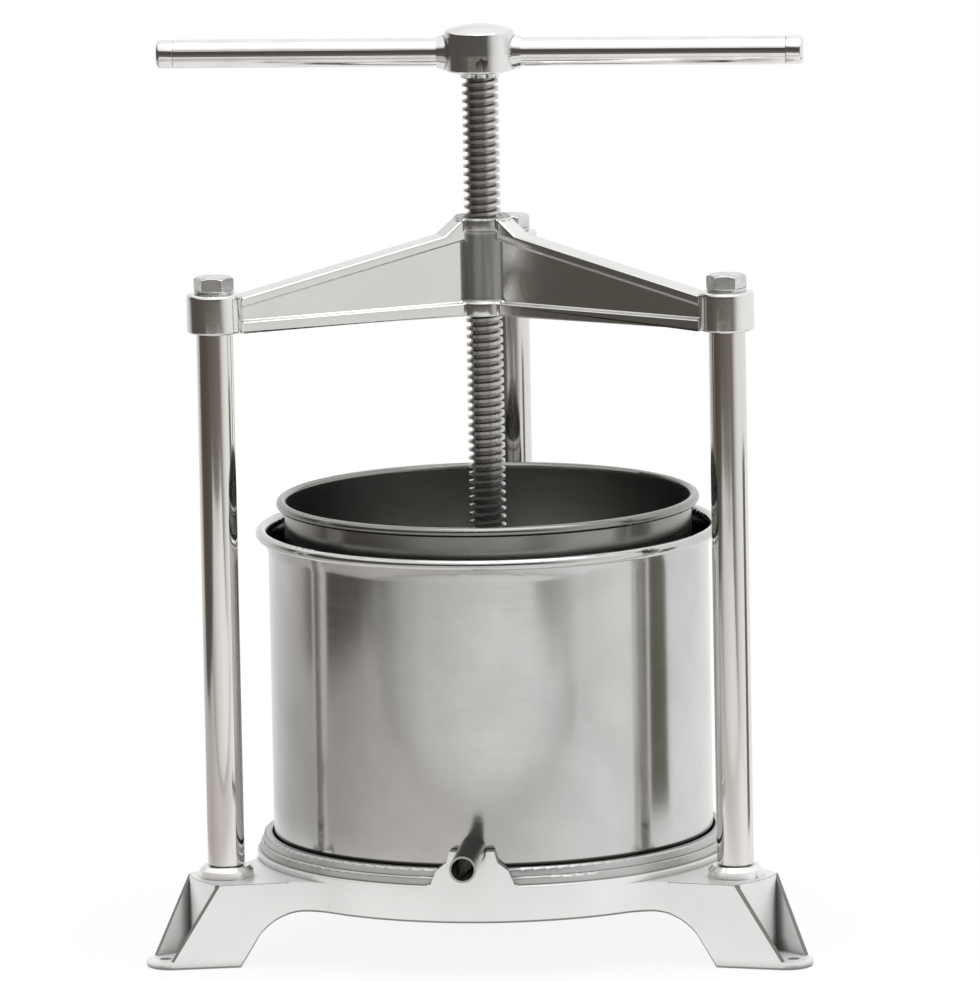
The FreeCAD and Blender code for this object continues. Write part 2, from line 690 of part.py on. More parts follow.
def screw():
    body = new_body("screw")
    button = PLATE_TOP + " + swivel_clearance"
    profile = new_sketch(body, "XZ_Plane", "screw_profile")
    outline(profile, [("0", button), ("button_radius - button_chamfer", button),
                      ("button_radius", button + " + button_chamfer"),
                      ("button_radius", button + " + button_height"),
                      ("neck_radius", button + " + button_height"), ("neck_radius", NECK_TOP),
                      ("screw_radius - screw_chamfer", NECK_TOP),
                      ("screw_radius", NECK_TOP + " + screw_chamfer"),
                      ("screw_radius", HUB_BOTTOM + " - screw_chamfer"),
                      ("screw_radius - screw_chamfer", HUB_BOTTOM), ("stub_radius", HUB_BOTTOM),
                      ("stub_radius", HUB_BOTTOM + " + stub_length"), ("0", HUB_BOTTOM + " + stub_length")])
    revolve(body, profile, name="screw_turned")
    return body


# Depth at which the set screw's head bears in the hub.
SET_SCREW_SEAT = "(hub_radius - set_screw_sunk)"


def radial(thing, distance):
    """Turn a cylinder outwards along the set screw's direction, starting at a distance."""
    turn = math.radians(number("set_screw_angle"))
    thing.Placement.Rotation = FreeCAD.Rotation(V(0, 0, 1), V(math.sin(turn), -math.cos(turn), 0))
    return placed(thing, "(%s) * sin(set_screw_angle)" % distance,
                  "-(%s) * cos(set_screw_angle)" % distance, "handle_height - set_screw_drop")


def handle_hub():
    body = new_body("hub_blank")
    profile = new_sketch(body, "XZ_Plane", "hub_outline")
    drawn_in = "hub_radius - hub_draft"
    crown = "(((" + drawn_in + " - hub_round)^2 + hub_crown^2) / (2 * hub_crown))"
    outline(profile, [("0", HUB_BOTTOM), ("hub_collar_radius", HUB_BOTTOM),
                      ("hub_collar_radius", HUB_BOTTOM + " + hub_collar_height"),
                      (drawn_in + " - hub_round", HUB_CONE_TOP + " - hub_round / 2", "hub_round", -1),
                      (drawn_in, HUB_CONE_TOP + " + hub_round / 2"),
                      ("hub_radius", "handle_height"),
                      (drawn_in, HUB_SHOULDER + " - hub_round", "hub_round", -1),
                      (drawn_in + " - hub_round", HUB_SHOULDER, crown, -1),
                      ("0", HUB_CROWN)])
    revolve(body, profile, name="hub_body")
    for side, sign in (("left", "-"), ("right", "")):
        cheek = new_sketch(body, "XZ_Plane", "cheek_" + side)
        outline(cheek, [("0", "handle_height"),
                        (sign + "handle_cheek", "handle_height"),
                        (sign + "handle_cheek", "handle_height + handle_cheek_radius"),
                        ("0", "handle_height + handle_cheek_radius + handle_cheek_flare")])
        turned = revolve(body, cheek, name="cheek_cone_" + side)
        turned.ReferenceAxis = (cheek, ["Edge1"])
    socket = new_sketch(body, "XY_Plane", "stub_socket_circle", HUB_BOTTOM + " - sink")
    ring_hole(socket, "0", "0", "stub_radius + hub_socket_gap")
    pocket(body, socket, "stub_length + sink + hub_socket_gap", outward=True, name="stub_socket")
    side = new_sketch(body, "YZ_Plane", "spigot_circle")
    ring_hole(side, "0", "handle_height", "spigot_radius + spigot_gap")
    pocket(body, side, "2 * handle_cheek + 2 * sink", midplane=True, name="spigot_holes")
    tap = radial(cylinder("set_screw_tap", "set_screw_radius - set_screw_step + set_screw_gap",
                          "hub_radius"), "0")
    seat = radial(cylinder("set_screw_seat", "set_screw_radius + set_screw_gap", "hub_radius"),
                  SET_SCREW_SEAT)
    return cut("handle_hub", cut("hub_tapped", body, tap), seat)


def handle_bar(side, turn):
    body = new_body("handle_bar_" + side)
    profile = new_sketch(body, "XZ_Plane", "bar_profile_" + side)
    tip = "(handle_reach - tip_length)"
    outline(profile, [("stub_radius + 2 * hub_socket_gap", "0"),
                      ("stub_radius + 2 * hub_socket_gap", "spigot_radius - spigot_chamfer"),
                      ("stub_radius + 2 * hub_socket_gap + spigot_chamfer", "spigot_radius"),
                      ("handle_cheek", "spigot_radius"), ("handle_cheek", "handle_radius"),
                      (tip, "handle_radius"), (tip, "tip_spigot_radius"),
                      (tip + " - tip_spigot_length", "tip_spigot_radius"),
                      (tip + " - tip_spigot_length", "0")])
    revolve(body, profile, "X_Axis", name="bar_turned_" + side)
    body.Placement.Rotation = FreeCAD.Rotation(V(0, 0, 1), turn)
    placed(body, z="handle_height")
    return body


def handle_tip(side, turn):
    body = new_body("handle_end_" + side)
    profile = new_sketch(body, "XZ_Plane", "tip_profile_" + side)
    tip = "(handle_reach - tip_length)"
    outline(profile, [(tip + " - tip_spigot_length + tip_spigot_gap", "0"),
                      (tip + " - tip_spigot_length + tip_spigot_gap",
                       "tip_spigot_radius - spigot_gap"),
                      (tip, "tip_spigot_radius - spigot_gap"), (tip, "handle_radius - tip_groove"),
                      (tip + " + tip_groove", "handle_radius"),
                      ("handle_reach - tip_round", "handle_radius", "tip_round", 1),
                      ("handle_reach", "handle_radius - tip_round"), ("handle_reach", "0")])
    revolve(body, profile, "X_Axis", name="tip_turned_" + side)
    body.Placement.Rotation = FreeCAD.Rotation(V(0, 0, 1), turn)
    placed(body, z="handle_height")
    return body


def press_plate():
    body = new_body("press_plate")
    profile = new_sketch(body, "XZ_Plane", "plate_profile")
    disc = "plate_bottom + plate_disc"
    rim = "plate_bottom + plate_rim_height"
    outline(profile, [("0", "plate_bottom"), ("plate_radius - plate_chamfer", "plate_bottom"),
                      ("plate_radius", "plate_bottom + plate_chamfer"),
                      ("plate_radius", rim + " - plate_chamfer"),
                      ("plate_radius - plate_chamfer", rim), ("plate_radius - plate_rim_width", rim),
                      ("plate_radius - plate_rim_width", disc),
                      ("plate_hub_radius + plate_chamfer", disc),
                      ("plate_hub_radius", PLATE_TOP), ("0", PLATE_TOP)])
    revolve(body, profile, name="plate_disc")
    rib = new_sketch(body, "XY_Plane", "plate_rib_outline", disc + " - sink / 2")
    outline(rib, [("-plate_rib_width / 2", "plate_hub_radius - sink"),
                  ("plate_rib_width / 2", "plate_hub_radius - sink"),
                  ("plate_rib_width / 2", "plate_radius - plate_rim_width / 2"),
                  ("-plate_rib_width / 2", "plate_radius - plate_rim_width / 2")])
    rib_pad = pad(body, rib, "plate_rib_height - plate_disc + sink / 2", name="plate_rib")
    around(body, [rib_pad], PLATE_RIBS, name="plate_ribs")
    hole = new_sketch(body, "XY_Plane", "plate_tap_circle", PLATE_TOP + " + sink")
    ring_hole(hole, FIRST_SCREW_X, FIRST_SCREW_Y, "plate_screw_radius")
    hole_cut = pocket(body, hole, "plate_screw_depth + sink", name="plate_tap")
    around(body, [hole_cut], PLATE_SCREWS, name="plate_taps")
    return body


def plate_socket():
    body = new_body("plate_socket")
    profile = new_sketch(body, "XZ_Plane", "socket_profile")
    bore = "button_radius + swivel_clearance"
    outline(profile, [(bore, PLATE_TOP), ("socket_radius", PLATE_TOP),
                      ("socket_radius", SOCKET_TOP), (bore, SOCKET_TOP)])
    revolve(body, profile, name="socket_turned")
    hole = new_sketch(body, "XY_Plane", "socket_screw_circle", SOCKET_TOP + " + sink")
    ring_hole(hole, FIRST_SCREW_X, FIRST_SCREW_Y, "plate_screw_radius + plate_screw_gap")
    hole_cut = pocket(body, hole, "button_height + 2 * sink", name="socket_screw_hole")
    around(body, [hole_cut], PLATE_SCREWS, name="socket_screw_holes")
    return body


def plate_keeper():
    halves = []
    for side, start in (("front", 180), ("rear", 0)):
        outer = cylinder("keeper_outer_" + side, "socket_radius", "keeper_thickness", z=SOCKET_TOP)
        outer.Angle = 180
        outer.Placement.Rotation = FreeCAD.Rotation(V(0, 0, 1), start)
        shift = "keeper_split / 2" if start == 0 else "-keeper_split / 2"
        placed(outer, y=shift)
        neck = cylinder("keeper_bore_" + side, "neck_radius + swivel_clearance",
                        "keeper_thickness", z=SOCKET_TOP)
        half = cut("keeper_cut_" + side, outer, neck)
        for index, turn in enumerate(SCREW_TURNS):
            if (turn < 180) != (start == 0):
                continue
            hole = cylinder("keeper_hole_%d" % index, "plate_screw_radius + plate_screw_gap", "keeper_thickness",
                            "plate_screw_circle * cos(%g)" % turn,
                            "plate_screw_circle * sin(%g)" % turn, SOCKET_TOP)
            half = cut("keeper_drilled_%d" % index, half, hole)
        halves.append(half)
    return group("plate_keeper", halves)


def plate_screws():
    members = []
    for index, turn in enumerate(SCREW_TURNS):
        x = "plate_screw_circle * cos(%g)" % turn
        y = "plate_screw_circle * sin(%g)" % turn
        low = PLATE_TOP + " - plate_screw_depth + plate_screw_end"
        shank = cylinder("plate_shank_%d" % index, "plate_screw_radius",
                         KEEPER_TOP + " - (" + low + ")", x, y, low)
        head = cylinder("plate_head_%d" % index, "plate_screw_head_radius", "plate_screw_head",
                        x, y, KEEPER_TOP)
        socket = doc.addObject("Part::Prism", "plate_key_%d" % index)
        socket.Polygon = 6
        bind(socket, "Circumradius", "plate_screw_key")
        bind(socket, "Height", "plate_screw_head")
        placed(socket, x, y, KEEPER_TOP + " + plate_screw_head / 2")
        fused = doc.addObject("Part::Fuse", "plate_blank_%d" % index)
        fused.Base = shank
        fused.Tool = head
        members.append(cut("plate_screw_%d" % index, fused, socket))
    return group("plate_screws", members)


def bead_levels(rim_radius, rim_top, bead):
    """Radius and height of a rim bead's centre, and the inner face of the wall under it."""
    centre_r = "(%s - %s)" % (rim_radius, bead)
    centre_z = "(%s - %s)" % (rim_top, bead)
    return centre_r, centre_z, "(%s - %s)" % (centre_r, bead)


def sheet_wall(label, radius, wall, low, rim_radius, rim_top, bead, flare):
    """A round sheet wall that flares out to the inner side of its rim bead."""
    body = new_body(label)
    centre_r, centre_z, neck = bead_levels(rim_radius, rim_top, bead)
    bend = "(%s - %s)" % (centre_z, bead)
    profile = new_sketch(body, "XZ_Plane", label + "_profile")
    outline(profile, [(radius, low), (radius, bend + " - " + flare), (neck + " + " + wall, bend),
                      (neck + " + " + wall, centre_z), (neck, centre_z), (neck, bend),
                      (radius + " - " + wall, bend + " - " + flare), (radius + " - " + wall, low)])
    revolve(body, profile, name=label + "_rolled")
    return body


def rim_bead(label, wall, rim_radius, rim_top, bead):
    """The wired bead round a wall's mouth, with the rebate that the wall's edge sits in."""
    body = new_body(label)
    centre_r, centre_z, neck = bead_levels(rim_radius, rim_top, bead)
    depth = "sqrt(%s ^ 2 - (%s - %s) ^ 2)" % (bead, bead, wall)
    profile = new_sketch(body, "XZ_Plane", label + "_profile")
    outline(profile, [(neck, centre_z, bead, 1), (centre_r, rim_top, bead, 1),
                      (rim_radius, centre_z, bead, 1), (centre_r, centre_z + " - " + bead, bead, 1),
                      (neck + " + " + wall, centre_z + " - " + depth),
                      (neck + " + " + wall, centre_z)])
    revolve(body, profile, name=label + "_turned")
    return body


def bucket():
    body = sheet_wall("bucket", "bucket_radius", "bucket_wall", "seat_floor", "bucket_rim_radius",
                      "bucket_rim_top", "bucket_bead", "bucket_flare")
    hole = new_sketch(body, "XZ_Plane", "spout_hole_circle", "bucket_radius")
    ring_hole(hole, "0", "spout_height", "spout_bore")
    pocket(body, hole, "bucket_wall + sink", taper=-number("punch_draft"), name="spout_hole")
    return body


def bucket_floor():
    return cylinder("bucket_floor", "bucket_radius - bucket_wall", "bucket_wall", z="seat_floor")


def bucket_spout():
    body = new_body("bucket_spout")
    profile = new_sketch(body, "XZ_Plane", "spout_circles", "bucket_radius")
    ring_hole(profile, "0", "spout_height", "spout_radius")
    ring_hole(profile, "0", "spout_height", "spout_bore")
    pad(body, profile, "spout_reach - bucket_radius", name="spout_tube")
    return body


def basket():
    low = "(seat_floor + bucket_wall + basket_foot_gap)"
    body = sheet_wall("basket", "basket_radius", "basket_wall", low, "basket_rim_radius",
                      "basket_rim_top", "basket_bead", "basket_flare")
    drain = new_sketch(body, "YZ_Plane", "drain_outline")
    outline(drain, [("-drain_width / 2", low + " - sink"), ("drain_width / 2", low + " - sink"),
                    ("drain_width / 2", low + " + drain_height"),
                    ("-drain_width / 2", low + " + drain_height")])
    drain_cut = pocket(body, drain, "2 * (basket_radius + cutter_stand)", midplane=True,
                       name="drain")
    around(body, [drain_cut], LEG_COUNT, name="drains")
    return body


def basket_floor():
    low = "(seat_floor + bucket_wall + basket_foot_gap + basket_floor_lift)"
    return cylinder("basket_floor", "basket_radius - basket_wall", "basket_floor_thickness", z=low)


def hub_set_screw():
    """Round-headed screw, radial in the hub, with its tip against the spindle's stub."""
    tip = "stub_radius + hub_socket_gap"
    shank = radial(cylinder("set_screw_shank", "set_screw_radius - set_screw_step",
                            SET_SCREW_SEAT + " - " + tip), tip)
    head = radial(cylinder("set_screw_head", "set_screw_radius",
                           "set_screw_proud + set_screw_sunk"), SET_SCREW_SEAT)
    fused = doc.addObject("Part::Fuse", "hub_set_screw")
    fused.Base = shank
    fused.Tool = head
    return fused


node_list = []
node_list.append(base_casting())
for column_name, column_turn in (("column_rear", 0), ("column_front_left", 120),
                                 ("column_front_right", 240)):
    node_list.append(column(column_name, column_turn))
node_list.append(yoke())
node_list.append(bolts("yoke_bolts", "yoke_bottom + column_boss_height + washer_thickness", False,
                       "column_boss_height + washer_thickness + bolt_grip"))
node_list.append(washers("yoke_washers", "yoke_bottom + column_boss_height"))
node_list.append(bolts("base_bolts", "post_bottom - washer_thickness", True,
                       "boss_top - post_bottom + washer_thickness + bolt_grip"))
node_list.append(washers("base_washers", "post_bottom - washer_thickness"))
node_list.append(screw())
node_list.append(handle_hub())
node_list.append(hub_set_screw())
for bar_side, bar_turn in (("right", 0), ("left", 180)):
    node_list.append(handle_bar(bar_side, bar_turn))
    node_list.append(handle_tip(bar_side, bar_turn))
node_list.append(press_plate())
node_list.append(plate_socket())
node_list.append(plate_keeper())
node_list.append(plate_screws())
node_list.append(bucket())
node_list.append(bucket_floor())
node_list.append(rim_bead("bucket_rim", "bucket_wall", "bucket_rim_radius", "bucket_rim_top",
                          "bucket_bead"))
node_list.append(bucket_spout())
node_list.append(basket())
node_list.append(basket_floor())
node_list.append(rim_bead("basket_rim", "basket_wall", "basket_rim_radius", "basket_rim_top",
                          "basket_bead"))

doc.recompute()
problems = [thing.Name for thing in doc.Objects if "Invalid" in thing.State or "Error" in thing.State]
for node in node_list:
    if node.Shape.isNull() or not node.Shape.isValid():
        problems.append(node.Label + " has no valid shape")
if problems:
    raise RuntimeError("Failed: " + ", ".join(problems))

os.makedirs("parts", exist_ok=True)
for node in node_list:
    node.Shape.exportStep("parts/" + node.Label + ".step")
    print(node.Label, len(node.Shape.Solids), round(node.Shape.Volume / 1000, 2), "cm3")
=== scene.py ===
import json
import math

import bmesh
import bpy
from mathutils import Matrix, Vector


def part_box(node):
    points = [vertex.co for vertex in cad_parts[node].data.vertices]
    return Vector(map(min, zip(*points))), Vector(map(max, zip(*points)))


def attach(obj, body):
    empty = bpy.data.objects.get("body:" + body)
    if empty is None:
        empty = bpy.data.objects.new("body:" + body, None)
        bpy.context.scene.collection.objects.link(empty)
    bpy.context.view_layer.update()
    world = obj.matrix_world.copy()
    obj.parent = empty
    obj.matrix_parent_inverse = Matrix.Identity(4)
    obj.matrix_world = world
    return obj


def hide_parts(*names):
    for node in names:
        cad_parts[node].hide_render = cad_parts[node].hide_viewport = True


# Fruit press: cast three-legged base, chromed columns, cast yoke, threaded spindle with a T-handle,
# press plate, satin juice bucket with a spout, and a perforated basket.
# Metres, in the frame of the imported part: +Z up along the spindle, -Y to the spout side.

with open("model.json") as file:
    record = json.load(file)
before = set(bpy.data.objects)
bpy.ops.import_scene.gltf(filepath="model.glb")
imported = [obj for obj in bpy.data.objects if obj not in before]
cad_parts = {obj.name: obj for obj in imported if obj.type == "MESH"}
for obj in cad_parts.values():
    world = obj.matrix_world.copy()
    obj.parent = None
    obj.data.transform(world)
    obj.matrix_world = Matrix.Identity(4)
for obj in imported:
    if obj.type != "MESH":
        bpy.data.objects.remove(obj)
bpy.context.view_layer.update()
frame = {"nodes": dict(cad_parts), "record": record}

MM = 0.001


class Socket:
    """A shader value or colour, so that shader maths reads as a Python expression."""

    def __init__(self, shader, socket):
        self.shader = shader
        self.socket = socket

    def maths(self, operation, *terms):
        return self.shader.node("ShaderNodeMath", {"operation": operation}, dict(enumerate(terms)))

    def __add__(self, other):
        return self.maths("ADD", self, other)

    def __sub__(self, other):
        return self.maths("SUBTRACT", self, other)

    def __mul__(self, other):
        return self.maths("MULTIPLY", self, other)

    def __truediv__(self, other):
        return self.maths("DIVIDE", self, other)

    def __pow__(self, other):
        return self.maths("POWER", self, other)

    def __neg__(self):
        return self.maths("MULTIPLY", self, -1.0)

    def ramp(self, low, high, start=0.0, end=1.0):
        """A smooth step from start at low to end at high."""
        return self.shader.node("ShaderNodeMapRange", {"interpolation_type": "SMOOTHSTEP"},
                                {"Value": self, "From Min": low, "From Max": high,
                                 "To Min": start, "To Max": end})


class Shader:
    """Builds a node tree: one method adds any node, and the rest are short names for common ones."""

    def __init__(self, tree):
        self.tree = tree
        tree.nodes.clear()

    def node(self, kind, settings=None, inputs=None, out=0):
        made = self.tree.nodes.new(kind)
        for name, value in (settings or {}).items():
            if name == "stops":
                self.set_stops(made.color_ramp, value)
            else:
                setattr(made, name, value)
        for name, value in (inputs or {}).items():
            self.feed(made.inputs[name], value)
        return Socket(self, made.outputs[out]) if len(made.outputs) else None

    def feed(self, target, value):
        if isinstance(value, Socket):
            self.tree.links.new(value.socket, target)
        elif isinstance(value, tuple) and len(value) == 3 and len(target.default_value) == 4:
            target.default_value = value + (1.0,)
        else:
            target.default_value = value

    def set_stops(self, ramp, stops):
        while len(ramp.elements) < len(stops):
            ramp.elements.new(1.0)
        for element, (place, colour) in zip(ramp.elements, stops):
            element.position = place
            element.color = colour + (1.0,)

    def place(self):
        return self.node("ShaderNodeTexCoord", out="Object")

    def parts(self, vector):
        return [self.node("ShaderNodeSeparateXYZ", None, {0: vector}, out=axis) for axis in range(3)]

    def turn(self, x, y):
        """The angle round the spindle's axis."""
        return self.node("ShaderNodeMath", {"operation": "ARCTAN2"}, {0: x, 1: y})

    def radius(self, x, y):
        """The distance from the spindle's axis."""
        return (x * x + y * y) ** 0.5

    def vector(self, x, y, z):
        return self.node("ShaderNodeCombineXYZ", None, {0: x, 1: y, 2: z})

    def stretched(self, vector, scale):
        return self.node("ShaderNodeVectorMath", {"operation": "MULTIPLY"}, {0: vector, 1: scale})

    def noise(self, vector, scale, detail, roughness=0.5):
        return self.node("ShaderNodeTexNoise", None, {"Vector": vector, "Scale": scale, "Detail": detail,
                                                      "Roughness": roughness})

    def mix(self, factor, first, second):
        return self.node("ShaderNodeMix", {"data_type": "RGBA"},
                         {"Factor": factor, 6: first, 7: second}, out=2)

    def bump(self, height, distance, strength, under=None):
        inputs = {"Height": height, "Distance": distance, "Strength": strength}
        if under is not None:
            inputs["Normal"] = under
        return self.node("ShaderNodeBump", None, inputs)


def new_material(name):
    """A new material, and the shader that fills its node tree."""
    material = bpy.data.materials.new(name)
    material.use_nodes = True
    return material, Shader(material.node_tree)


def metal(name, build):
    """A metal finish. build(shader) returns what feeds the surface: colour, roughness, normal."""
    material, shader = new_material(name)
    inputs = {"Metallic": 1.0}
    inputs.update(build(shader))
    surface = shader.node("ShaderNodeBsdfPrincipled", None, inputs)
    shader.node("ShaderNodeOutputMaterial", None, {"Surface": surface})
    return material


def cast_aluminium(s, colour, roughness, grain_depth):
    """Cast aluminium, tumbled and brushed: softly wavy, with a trace of the casting's grain."""
    place = s.place()
    waves = s.noise(place, 30.0, 2.0)
    grain = s.noise(place, 900.0, 3.0, 0.6)
    patches = s.noise(place, 18.0, 3.0, 0.6)
    tint = s.mix(patches.ramp(0.35, 0.7), colour, tuple(0.94 * part for part in colour))
    normal = s.bump(waves, 0.3 * MM, 0.35)
    normal = s.bump(grain, grain_depth, 0.4, normal)
    return {"Base Color": tint, "Roughness": grain.ramp(0.3, 0.7, roughness, roughness + 0.06),
            "Normal": normal}


def base_casting(s):
    """The base: blasted aluminium, pale, with a bare machined lip round the seat and machined column
    bosses. The lip's colour is darkened as a painted dark reflection. Painted shade darkens its
    corners, the seat, the webs' sloping edges, the edges that look down and those of the legs' tops."""
    leg_top = 41.7 * MM
    made = cast_aluminium(s, (0.88, 0.88, 0.87), 0.36, 0.004 * MM)
    x, y, z = s.parts(s.place())
    radius = s.radius(x, y)
    # Painted shade: the seat inside the lip, where the bucket stands, is coloured near black.
    seat = radius.ramp(109.6 * MM, 108.9 * MM) * z.ramp(48.0 * MM, 49.5 * MM)
    # The machined lip is really more metallic; its darker colour is a painted dark reflection.
    lip = z.ramp(42.0 * MM, 43.0 * MM) * radius.ramp(116.3 * MM, 116.0 * MM)
    bosses = z.ramp(leg_top, leg_top + 0.2 * MM) * radius.ramp(120.0 * MM, 125.0 * MM)
    machined = lip + bosses
    # Painted shade: rounded edges that look down, and sloped faces below the legs' tops, are coloured
    # dark.
    facing = s.parts(s.node("ShaderNodeNewGeometry", out="Normal"))[2]
    sloping = facing.ramp(0.1, 0.3) * facing.ramp(0.9, 0.7) * z.ramp(leg_top, leg_top - 0.1 * MM)
    edges = facing.ramp(-0.04, -0.2) + sloping
    # Painted shade: corners and creases, found by ambient occlusion, are coloured dark.
    openness_for_painted_shade = s.node("ShaderNodeAmbientOcclusion", {"samples": 6}, {"Distance": 8.0 * MM}, out="AO")
    colour = s.mix(lip, made["Base Color"], (0.55, 0.55, 0.54))
    colour = s.mix(openness_for_painted_shade.ramp(0.75, 0.35), colour, (0.24, 0.24, 0.23))
    colour = s.mix(edges, colour, (0.2, 0.2, 0.19))
    made["Base Color"] = s.mix(seat, colour, (0.03, 0.03, 0.028))
    made["Metallic"] = machined.ramp(0.0, 1.0, 0.45, 0.95)
    made["Roughness"] = made["Roughness"] - bosses * 0.2
    return made


def yoke_casting(s):
    """The yoke: polished arms, and a duller hub that the polishing wheel doesn't reach."""
    made = cast_aluminium(s, (0.8, 0.8, 0.78), 0.09, 0.004 * MM)
    x, y = s.parts(s.place())[:2]
    hub = s.radius(x, y).ramp(14.4 * MM, 13.6 * MM)
    streaks = s.noise(s.stretched(s.place(), (260.0, 260.0, 12.0)), 1.0, 3.0)
    dull = s.mix(streaks.ramp(0.35, 0.65), (0.34, 0.34, 0.33), (0.5, 0.5, 0.49))
    made["Base Color"] = s.mix(hub, made["Base Color"], dull)
    made["Roughness"] = made["Roughness"] + hub * 0.25
    return made


def hub_casting(s):
    """The handle's hub: polished, its sides drafted both ways from the parting line."""
    made = cast_aluminium(s, (0.8, 0.8, 0.79), 0.09, 0.003 * MM)
    parting = 436.7 * MM
    x, y, z = s.parts(s.place())
    radius = s.radius(x, y)
    side = radius.ramp(16.9 * MM, 17.0 * MM) * radius.ramp(17.8 * MM, 17.7 * MM)
    draft = z.ramp(parting - 0.3 * MM, parting + 0.3 * MM, -0.05, 0.07)
    turned = s.node("ShaderNodeVectorTransform", {"vector_type": "NORMAL", "convert_from": "OBJECT",
                                                  "convert_to": "WORLD"},
                    {0: s.vector(x / radius, y / radius, draft)})
    made["Normal"] = s.node("ShaderNodeVectorMath", {"operation": "NORMALIZE"},
                            {0: s.mix(side, made["Normal"], turned)})
    return made


def chrome(s, colour=(0.78, 0.76, 0.735), roughness=0.07):
    """Polished bar: nearly a mirror, with faint upright marks."""
    place = s.place()
    streaks = s.noise(s.stretched(place, (60.0, 60.0, 2.0)), 1.0, 3.0)
    normal = s.bump(s.noise(place, 30.0, 1.0), 0.3 * MM, 0.25)
    return {"Base Color": s.mix(streaks.ramp(0.4, 0.7), colour, tuple(0.92 * part for part in colour)),
            "Roughness": streaks.ramp(0.3, 0.7, roughness, roughness + 0.06), "Normal": normal}


def satin_stainless(s, colour=(0.62, 0.62, 0.61), roughness=0.1):
    """Deep drawn stainless sheet, brushed round its axis."""
    x, y, z = s.parts(s.place())
    turn = s.turn(x, y)
    brush = s.noise(s.vector(turn * 1.5, z * 2600.0, 0.0), 1.0, 4.0, 0.7)
    cloud = s.noise(s.place(), 22.0, 4.0, 0.6)
    tint = s.mix(cloud.ramp(0.35, 0.7), colour, tuple(0.9 * part for part in colour))
    normal = s.bump(brush, 0.008 * MM, 0.35)
    normal = s.bump(s.noise(s.stretched(s.place(), (9.0, 9.0, 5.0)), 1.0, 2.0), 0.6 * MM, 0.5, normal)
    return {"Base Color": tint, "Roughness": brush.ramp(0.3, 0.7, roughness, roughness + 0.06),
            "Normal": normal}


def bucket_sheet(s):
    """The bucket: its foot is painted dark as shade where it stands in the casting's seat."""
    made = satin_stainless(s)
    z = s.parts(s.place())[2]
    # Painted shade: the foot, just above the casting's lip, is coloured near black.
    made["Base Color"] = s.mix(z.ramp(55.2 * MM, 54.2 * MM), made["Base Color"], (0.04, 0.04, 0.035))
    return made


def basket_sheet(s):
    """The basket: the same sheet, darker and duller."""
    return satin_stainless(s, (0.3, 0.3, 0.285), 0.2)


def plated(s):
    """Zinc-plated steel: even, slightly cloudy."""
    cloud = s.noise(s.place(), 240.0, 3.0, 0.6)
    colour = s.mix(cloud.ramp(0.35, 0.7), (0.72, 0.72, 0.71), (0.6, 0.6, 0.6))
    return {"Base Color": colour, "Roughness": cloud.ramp(0.3, 0.7, 0.2, 0.34)}


def turned_thread(s):
    """Turned steel: bright crests, darker roots."""
    x, y, z = s.parts(s.place())
    radius = s.radius(x, y)
    crest = radius.ramp(7.0 * MM, 8.8 * MM)
    lines = s.noise(s.vector(z * 3000.0, radius * 3000.0, 0.0), 1.0, 2.0)
    colour = s.mix(crest, (0.3, 0.29, 0.28), (0.6, 0.59, 0.58))
    return {"Base Color": colour, "Roughness": lines.ramp(0.3, 0.7, 0.2, 0.32)}


def satin_plate(s):
    """Cast press plate, machined in circles."""
    x, y = s.parts(s.place())[:2]
    rings = s.noise(s.vector(s.radius(x, y) * 1800.0, 0.0, 0.0), 1.0, 2.0)
    return {"Base Color": (0.7, 0.7, 0.69), "Roughness": rings.ramp(0.3, 0.7, 0.24, 0.36),
            "Normal": s.bump(rings, 0.02 * MM, 0.4)}


CASTING = metal("satin_cast_aluminium", base_casting)
YOKE_CASTING = metal("polished_cast_aluminium", yoke_casting)
HUB_CASTING = metal("polished_hub_aluminium", hub_casting)
CHROME = metal("chromed_column", chrome)
HANDLE_CHROME = metal("polished_handle", lambda s: chrome(s, (0.82, 0.8, 0.785), 0.08))
BUCKET_STEEL = metal("satin_stainless", bucket_sheet)
SPOUT_STEEL = metal("spout_tube_steel", lambda s: satin_stainless(s, (0.5, 0.49, 0.46), 0.14))
BASKET_STEEL = metal("basket_stainless", basket_sheet)
PLATED = metal("zinc_plated_steel", plated)
DARK_STEEL = metal("blackened_steel", lambda s: chrome(s, (0.26, 0.24, 0.22), 0.22))
THREAD = metal("turned_spindle_steel", turned_thread)
PLATE = metal("machined_plate_aluminium", satin_plate)


def linked(name, data):
    """A new object in the scene, with its mesh, lamp or camera."""
    thing = bpy.data.objects.new(name, data)
    bpy.context.scene.collection.objects.link(thing)
    return thing


def mesh_object(name, shape):
    """A new object in the scene, made from a bmesh, which is then used up."""
    mesh = bpy.data.meshes.new(name)
    shape.to_mesh(mesh)
    shape.free()
    return linked(name, mesh)


def finish_piece(shape, name, material, body, slot, replaces=(), crease=35.0):
    """Turn a bmesh into a piece of the press, sharp where it turns by more than crease degrees."""
    piece = mesh_object(name, shape)
    piece.data.shade_smooth()
    piece.data.set_sharp_from_angle(angle=math.radians(crease))
    piece.data.materials.append(material)
    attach(piece, body)
    if replaces:
        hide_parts(*replaces)
    return piece


def merged_copy(node):
    """The node's own shape with its loose triangles joined, so that it shades smoothly."""
    shape = bmesh.new()
    shape.from_mesh(frame["nodes"][node].data)
    bmesh.ops.remove_doubles(shape, verts=shape.verts, dist=0.002 * MM)
    return shape


FLAT_ANGLE = math.radians(0.6)
SHARP_ANGLE = math.radians(40.0)


